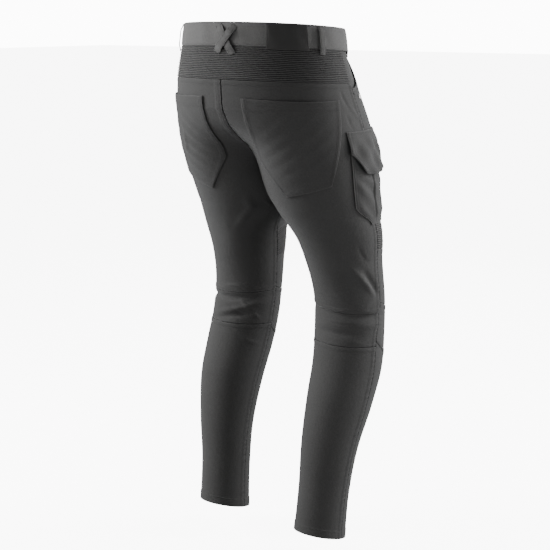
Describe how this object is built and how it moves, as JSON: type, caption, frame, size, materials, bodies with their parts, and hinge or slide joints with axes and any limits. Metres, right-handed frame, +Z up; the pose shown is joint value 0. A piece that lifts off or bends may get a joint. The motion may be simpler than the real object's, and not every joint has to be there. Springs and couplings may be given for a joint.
{
  "type": "motorcycle trousers",
  "caption": "Slim motorcycle trousers in worn form: ribbed stretch yoke and thigh panels, pre-bent knees, patch pockets on the seat and flapped cargo pockets on the thighs.",
  "frame": {"origin": "centre of the waist opening, at the height of its top edge", "axes": "+Z up, front towards -Y, the wearer's left towards +X"},
  "size_m": [0.4278, 0.3232, 1.0317],
  "materials": {
    "twill": "matte stretch cotton twill, charcoal",
    "ribbing": "matte accordion stretch ribbing, charcoal",
    "leather": "smooth dark leather, slightly glossy",
    "metal": "satin metal"
  },
  "bodies": {
    "root": {"waistband": "twill", "yoke_ribs": "ribbing", "back_left": "twill", "back_knee_left": "twill", "calf_left": "twill", "front_left": "twill", "pocket_facing_left": "twill", "lower_thigh_left": "twill", "knee_left": "twill", "shin_left": "twill", "back_pocket_left": "twill", "cargo_bag_left": "twill", "cargo_flap_left": "twill", "thigh_ribs_left": "ribbing", "rivet_left": "metal", "belt_loop_back_left": "twill", "belt_loop_front_left": "twill", "back_right": "twill", "back_knee_right": "twill", "calf_right": "twill", "front_right": "twill", "pocket_facing_right": "twill", "lower_thigh_right": "twill", "knee_right": "twill", "shin_right": "twill", "back_pocket_right": "twill", "cargo_bag_right": "twill", "cargo_flap_right": "twill", "thigh_ribs_right": "ribbing", "rivet_right": "metal", "belt_loop_back_right": "twill", "belt_loop_front_right": "twill", "cross_loop_under": "twill", "cross_loop_over": "twill", "patch": "leather", "waist_button": "metal"}
  },
  "joints": []
}
